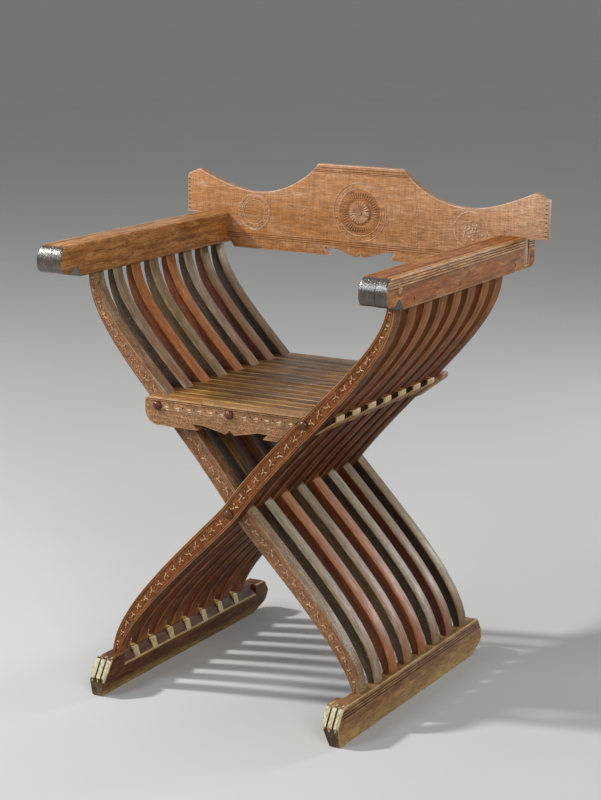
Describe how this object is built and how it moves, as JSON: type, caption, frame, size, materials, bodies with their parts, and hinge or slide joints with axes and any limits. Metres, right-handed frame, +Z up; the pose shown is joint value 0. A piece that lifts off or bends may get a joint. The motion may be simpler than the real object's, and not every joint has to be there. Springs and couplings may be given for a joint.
{
  "type": "folding armchair",
  "caption": "Folding X-frame Savonarola armchair with crossed S-shaped staves, slatted seat, runner feet, flat arms and a carved lift-out back board.",
  "frame": {"origin": "on the floor, in the middle of the chair's overall width and depth", "axes": "+Z up, +Y to the back of the chair, +X to the right as seen from the front"},
  "size_m": [0.693, 0.5632, 0.842],
  "materials": {
    "carved_walnut": "waxed, worn chip carving",
    "stave_walnut": "waxed, worn",
    "seat_walnut": "waxed, worn",
    "arm_walnut": "waxed, polished by hands",
    "foot_walnut": "dry, worn",
    "board_walnut": "waxed, carved",
    "dark_pin_wood": "dark, polished"
  },
  "bodies": {
    "pivot_rod": {"pivot_rod": "dark_pin_wood", "pivot_rod_head_front": "dark_pin_wood", "pivot_rod_head_rear": "dark_pin_wood"},
    "frame_a": {"stave_a_1": "carved_walnut", "stave_a_2": "stave_walnut", "stave_a_3": "stave_walnut", "stave_a_4": "stave_walnut", "stave_a_5": "stave_walnut", "stave_a_6": "stave_walnut", "stave_a_7": "stave_walnut", "stave_a_8": "stave_walnut", "foot_left": "foot_walnut", "foot_chocks_left": "foot_walnut", "arm_right": "arm_walnut", "arm_pegs_right": "dark_pin_wood", "seat_rod_right": "dark_pin_wood", "seat_rod_right_head_front": "dark_pin_wood", "seat_rod_right_head_rear": "dark_pin_wood"},
    "frame_b": {"stave_b_1": "carved_walnut", "stave_b_2": "stave_walnut", "stave_b_3": "stave_walnut", "stave_b_4": "stave_walnut", "stave_b_5": "stave_walnut", "stave_b_6": "stave_walnut", "stave_b_7": "stave_walnut", "stave_b_8": "stave_walnut", "foot_right": "foot_walnut", "foot_chocks_right": "foot_walnut", "arm_left": "arm_walnut", "arm_pegs_left": "dark_pin_wood", "seat_rod_left": "dark_pin_wood", "seat_rod_left_head_front": "dark_pin_wood", "seat_rod_left_head_rear": "dark_pin_wood"},
    "seat_left": {"seat_rail_front": "carved_walnut", "seat_slat_left_2": "seat_walnut", "seat_slat_left_3": "seat_walnut", "seat_slat_left_4": "seat_walnut", "seat_slat_left_5": "seat_walnut", "seat_slat_left_6": "seat_walnut", "seat_slat_left_7": "seat_walnut", "seat_slat_left_8": "seat_walnut", "seat_rod_middle_head_front": "dark_pin_wood"},
    "seat_right": {"seat_slat_right_1": "seat_walnut", "seat_slat_right_2": "seat_walnut", "seat_slat_right_3": "seat_walnut", "seat_slat_right_4": "seat_walnut", "seat_slat_right_5": "seat_walnut", "seat_slat_right_6": "seat_walnut", "seat_slat_right_7": "seat_walnut", "seat_rail_rear": "seat_walnut", "seat_rod_middle_head_rear": "dark_pin_wood"},
    "middle_rod": {"seat_rod_middle": "dark_pin_wood"},
    "back_rest": {"back_board": "board_walnut"}
  },
  "joints": [
    {"name": "frame_a_fold", "type": "hinge", "parent": "pivot_rod", "child": "frame_a", "pos_m": [0, 0, 0.331], "axis": [0, -1, 0], "range_deg": [0, 24]},
    {"name": "frame_b_fold", "type": "hinge", "parent": "pivot_rod", "child": "frame_b", "pos_m": [0, 0, 0.331], "axis": [0, 1, 0], "range_deg": [0, 24]},
    {"name": "seat_left_turn", "type": "hinge", "parent": "frame_b", "child": "seat_left", "pos_m": [-0.13273, 0, 0.492], "axis": [0, -1, 0], "range_deg": [0, 88.9]},
    {"name": "seat_right_turn", "type": "hinge", "parent": "frame_a", "child": "seat_right", "pos_m": [0.13273, 0, 0.492], "axis": [0, 1, 0], "range_deg": [0, 88.9]},
    {"name": "middle_rod_rise", "type": "slide", "parent": "pivot_rod", "child": "middle_rod", "axis": [0, 0, 1], "range_m": [0, 0.1594]},
    {"name": "back_rest_lift", "type": "slide", "parent": "pivot_rod", "child": "back_rest", "axis": [0, 0, 1], "range_m": [0, 0.3981]}
  ],
  "couplings": [
    {"joint": "frame_b_fold", "follows": "frame_a_fold", "ratio": 1},
    {"joint": "seat_left_turn", "follows": "frame_a_fold", "ratio": 3.7},
    {"joint": "seat_right_turn", "follows": "frame_a_fold", "ratio": 3.7},
    {"joint": "middle_rod_rise", "follows": "frame_a_fold", "m_per_rad": 0.38},
    {"joint": "back_rest_lift", "follows": "frame_a_fold", "m_per_rad": 0.95}
  ]
}
